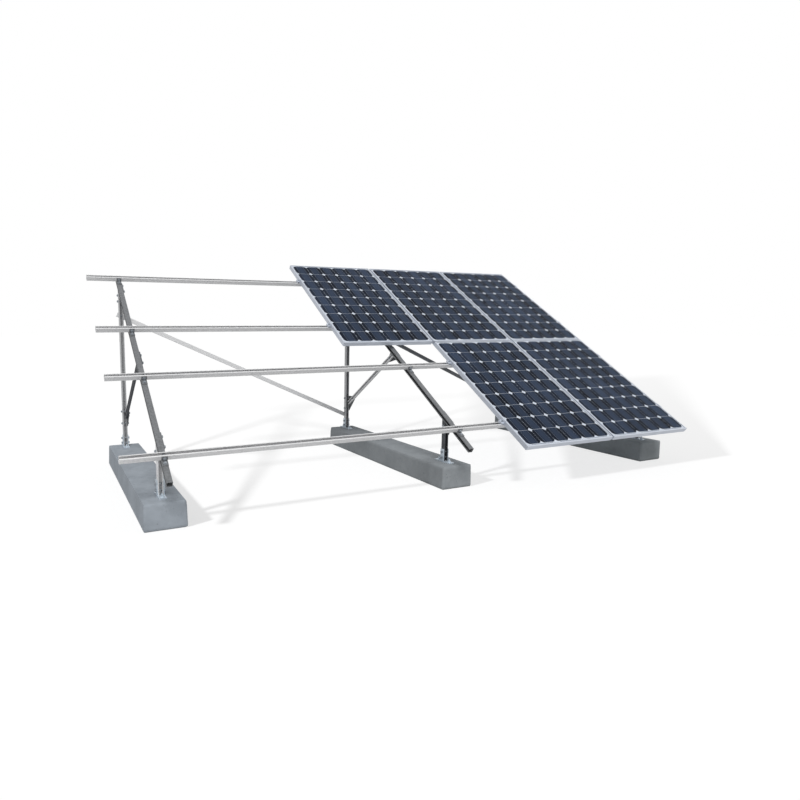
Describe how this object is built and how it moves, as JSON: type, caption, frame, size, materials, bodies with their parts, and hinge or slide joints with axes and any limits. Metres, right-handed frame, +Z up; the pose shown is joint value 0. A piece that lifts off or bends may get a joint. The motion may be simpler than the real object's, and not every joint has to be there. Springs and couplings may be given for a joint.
{
  "type": "solar panel mounting structure",
  "caption": "Tilted steel channel frames on concrete ballast beams carry purlins and framed photovoltaic modules held by rail clamps.",
  "frame": {"origin": "centre of the footprint box at ground level, under the beams", "axes": "+X along the purlins, from the bare left bay to the modules; -Y the low front side of the array; +Z up"},
  "size_m": [5.261, 2.516, 1.9938],
  "materials": {
    "concrete": "cast grey concrete, fine pores",
    "galvanised_steel": "hot-dip galvanised, dull grey spangle",
    "bright_steel": "bright zinc plating",
    "anodised_aluminium": "clear satin anodised",
    "solar_laminate": "dark blue cells under low-iron glass",
    "box_plastic": "black moulded PPO"
  },
  "bodies": {
    "root": {"ballast_block_left": "concrete", "ballast_block_middle": "concrete", "ballast_block_right": "concrete", "front_post_left": "galvanised_steel", "front_post_middle": "galvanised_steel", "front_post_right": "galvanised_steel", "rear_post_left": "galvanised_steel", "rear_post_middle": "galvanised_steel", "rear_post_right": "galvanised_steel", "rafter_left": "galvanised_steel", "rafter_middle": "galvanised_steel", "rafter_right": "galvanised_steel", "knee_brace_left": "galvanised_steel", "knee_brace_middle": "galvanised_steel", "knee_brace_right": "galvanised_steel", "rear_diagonal_left": "galvanised_steel", "rear_diagonal_right": "galvanised_steel", "purlin_1": "galvanised_steel", "purlin_2": "galvanised_steel", "purlin_3": "galvanised_steel", "purlin_4": "galvanised_steel", "front_foot_left": "bright_steel", "front_foot_middle": "bright_steel", "front_foot_right": "bright_steel", "rear_foot_left": "bright_steel", "rear_foot_middle": "bright_steel", "rear_foot_right": "bright_steel", "front_gusset_left": "bright_steel", "front_gusset_middle": "bright_steel", "front_gusset_right": "bright_steel", "rear_gusset_left": "bright_steel", "rear_gusset_middle": "bright_steel", "rear_gusset_right": "bright_steel", "brace_head_gusset_left": "bright_steel", "brace_head_gusset_middle": "bright_steel", "brace_head_gusset_right": "bright_steel", "brace_foot_gusset_left": "bright_steel", "brace_foot_gusset_middle": "bright_steel", "brace_foot_gusset_right": "bright_steel", "purlin_cleats": "bright_steel", "anchor_bolts": "bright_steel", "frame_bolts": "bright_steel", "clamp_bolts": "bright_steel", "module_frame_1": "anodised_aluminium", "module_frame_2": "anodised_aluminium", "module_frame_3": "anodised_aluminium", "module_frame_4": "anodised_aluminium", "module_frame_5": "anodised_aluminium", "mid_clamps": "anodised_aluminium", "end_clamps": "anodised_aluminium", "laminate_1": "solar_laminate", "laminate_2": "solar_laminate", "laminate_3": "solar_laminate", "laminate_4": "solar_laminate", "laminate_5": "solar_laminate", "junction_box_1": "box_plastic", "junction_box_2": "box_plastic", "junction_box_3": "box_plastic", "junction_box_4": "box_plastic", "junction_box_5": "box_plastic"}
  },
  "joints": []
}
